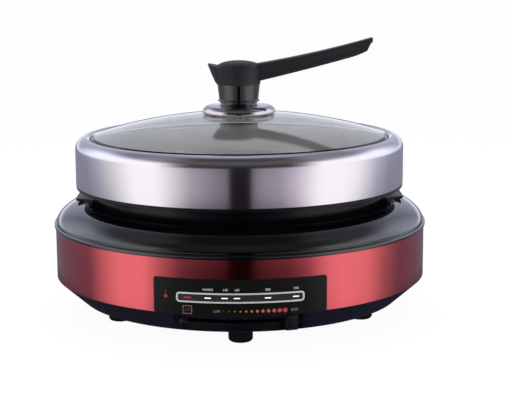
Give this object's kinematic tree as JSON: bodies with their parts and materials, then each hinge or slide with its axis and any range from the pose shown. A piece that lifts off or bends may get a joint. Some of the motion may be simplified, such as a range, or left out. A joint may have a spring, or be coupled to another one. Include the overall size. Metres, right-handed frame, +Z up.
{
  "type": "electric hot pot with lid",
  "caption": "Round electric hot pot: lift-out pan over a ring element in a coloured base, lever thermostat, glass and steel lid with a long arm on its knob.",
  "frame": {"origin": "on the table under the pot's upright axis, at the soles of the feet", "axes": "+Z up along the pot's axis, -Y towards the control panel, +X to the right of somebody facing the panel, the side that the lid's arm points to"},
  "size_m": [0.3825, 0.3826, 0.28],
  "materials": {
    "black_plastic": "satin moulded",
    "red_lacquer": "gloss metallic",
    "gloss_black": "gloss",
    "galvanised": "satin",
    "rubber": "matt",
    "steel": "satin",
    "chrome": "polished",
    "element_sheath": "oxidised",
    "ceramic": "fired ceramic",
    "stat_plastic": "matt",
    "wire_sleeve": "braided",
    "brass": "bare",
    "smoked_window": "gloss",
    "red_lens": "clear",
    "pan_coating": "non-stick coating",
    "stainless": "polished",
    "clear_glass": "clear",
    "silicone": "soft",
    "matt_black": "fine matt"
  },
  "bodies": {
    "base": {"base_shell": "black_plastic", "red_band": "red_lacquer", "upper_cover": "gloss_black", "bottom_plate": "galvanised", "rubber_feet": "rubber", "tie_columns": "steel", "tie_screws": "steel", "tie_nuts": "steel", "heat_dish": "steel", "heating_element": "element_sheath", "terminal_bushes": "ceramic", "element_brackets": "steel", "thermostat_body": "stat_plastic", "thermal_fuse": "ceramic", "element_leads": "brass", "wire_harness": "wire_sleeve", "sensor_spring": "steel", "control_panel": "gloss_black", "window_rim": "chrome", "scale_window": "smoked_window", "pilot_lamp": "red_lens", "power_inlet": "black_plastic", "inlet_pins": "brass", "inlet_screws": "steel"},
    "sensor": {"sensor_cap": "steel"},
    "lever": {"lever_arm": "steel", "lever_grip": "black_plastic", "thermostat_spindle": "steel", "spindle_nut": "steel"},
    "pan": {"pan": "pan_coating", "pan_ear_left": "matt_black", "pan_ear_right": "matt_black", "ear_rivets": "steel"},
    "lid": {"lid_skirt": "stainless", "lid_glass": "clear_glass", "lid_gasket": "silicone", "knob_plate": "chrome", "knob_seal": "silicone", "knob_washer": "steel", "knob_bolt": "steel", "knob_collar": "gloss_black", "lid_handle": "matt_black", "handle_cap": "gloss_black"}
  },
  "joints": [
    {"name": "pan_lift", "type": "slide", "parent": "base", "child": "pan", "axis": [0, 0, 1], "range_m": [0, 0.15]},
    {"name": "lid_lift", "type": "slide", "parent": "pan", "child": "lid", "axis": [0, 0, 1], "range_m": [0, 0.15]},
    {"name": "lever_swing", "type": "hinge", "parent": "base", "child": "lever", "pos_m": [0, 0, 0.0277], "axis": [0, 0, 1], "range_deg": [-31, 0]},
    {"name": "sensor_press", "type": "slide", "parent": "base", "child": "sensor", "axis": [0, 0, 1], "range_m": [-0.003, 0], "stiffness_N_per_m": 800, "deforming": ["sensor_spring"]}
  ]
}
